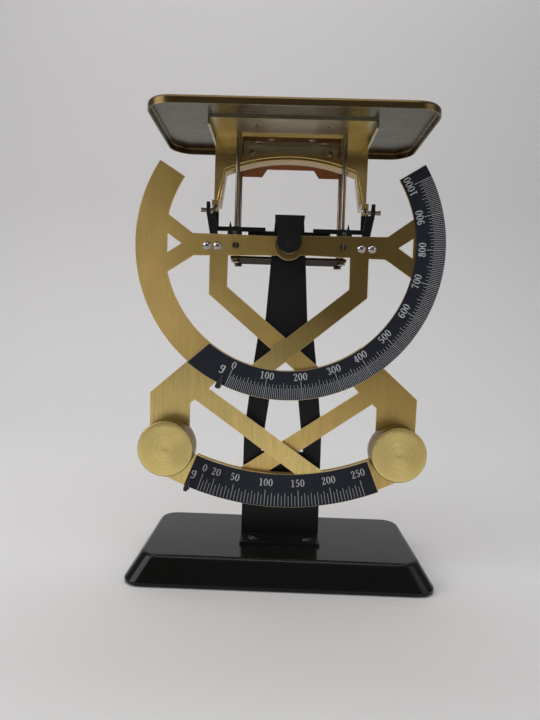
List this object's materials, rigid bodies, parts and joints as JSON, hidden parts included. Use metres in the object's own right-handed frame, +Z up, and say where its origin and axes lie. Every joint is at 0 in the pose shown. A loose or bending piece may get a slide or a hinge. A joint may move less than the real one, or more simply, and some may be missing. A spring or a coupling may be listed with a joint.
{
  "type": "postal scale",
  "caption": "Desk letter scale: a flat pan on a sliding yoke swings mirrored weighted brass sectors on one axle, read on curved scales.",
  "frame": {"origin": "centre of the scale's footprint at the floor, under the pan's centre", "axes": "+Z up from the feet to the pan, -Y towards the reader of the scales, +X to the reader's right"},
  "size_m": [0.172, 0.082, 0.2495],
  "materials": {
    "sector_brass": "satin brushed sheet brass",
    "polished_brass": "polished",
    "turned_brass": "turned, pale",
    "scale_face": "navy black print ground",
    "black_paint": "semi-gloss black paint",
    "black_gloss": "gloss black stove enamel",
    "black_screws": "blackened steel",
    "panel_red_brown": "dark red-brown paint",
    "pan_nickel": "nickel plate",
    "chrome_trim": "bright domed heads",
    "bright_steel": "bright drawn steel",
    "foot_rubber": "matte"
  },
  "bodies": {
    "stand": {"base_cover": "black_gloss", "base_plate": "black_paint", "base_plate_screws": "bright_steel", "rubber_feet": "foot_rubber", "column": "black_paint", "column_screws": "black_screws", "column_nuts": "bright_steel", "guide_plate": "black_paint", "guide_plate_rivets": "bright_steel", "main_axle": "bright_steel", "axle_nut": "bright_steel"},
    "right_sector": {"sector_plate_right": "sector_brass", "upper_scale_plate": "scale_face", "lower_scale_plate": "scale_face", "hub_bush_right": "turned_brass", "weight_disc_right": "turned_brass", "weight_screw_right": "bright_steel", "trim_bracket_right": "black_paint", "trim_rivets_right": "chrome_trim", "trim_screw_right": "turned_brass", "load_lug_right": "black_paint", "load_stud_right": "bright_steel", "load_lug_screw_right": "turned_brass"},
    "left_sector": {"sector_plate_left": "sector_brass", "hub_bush_left": "turned_brass", "weight_disc_left": "turned_brass", "weight_screw_left": "bright_steel", "trim_bracket_left": "black_paint", "trim_rivets_left": "chrome_trim", "trim_screw_left": "turned_brass", "load_lug_left": "black_paint", "load_stud_left": "bright_steel", "load_lug_screw_left": "turned_brass", "upper_index": "bright_steel", "lower_index": "bright_steel"},
    "pan_carrier": {"pan": "pan_nickel", "pan_bracket": "black_paint", "pan_rivets": "bright_steel", "rear_panel": "panel_red_brown", "rear_panel_rivets": "bright_steel", "yoke": "polished_brass", "yoke_rivets": "bright_steel", "load_arm_left": "polished_brass", "load_arm_right": "polished_brass", "load_arm_rivets": "bright_steel", "guide_rods_front": "bright_steel", "guide_rods_rear": "bright_steel", "cross_plate": "black_paint", "rod_nuts": "bright_steel"}
  },
  "joints": [
    {"name": "right_sector_swing", "type": "hinge", "parent": "stand", "child": "right_sector", "pos_m": [0, -0.007, 0.182], "axis": [0, 1, 0], "range_deg": [0, 71.5]},
    {"name": "left_sector_swing", "type": "hinge", "parent": "stand", "child": "left_sector", "pos_m": [0, -0.007, 0.182], "axis": [0, -1, 0], "range_deg": [0, 71.5]},
    {"name": "pan_slide", "type": "slide", "parent": "stand", "child": "pan_carrier", "axis": [0, 0, -1], "range_m": [0, 0.03361]}
  ],
  "couplings": [
    {"joint": "left_sector_swing", "follows": "right_sector_swing", "ratio": 1},
    {"joint": "pan_slide", "follows": "right_sector_swing", "m_per_rad": 0.02693}
  ]
}
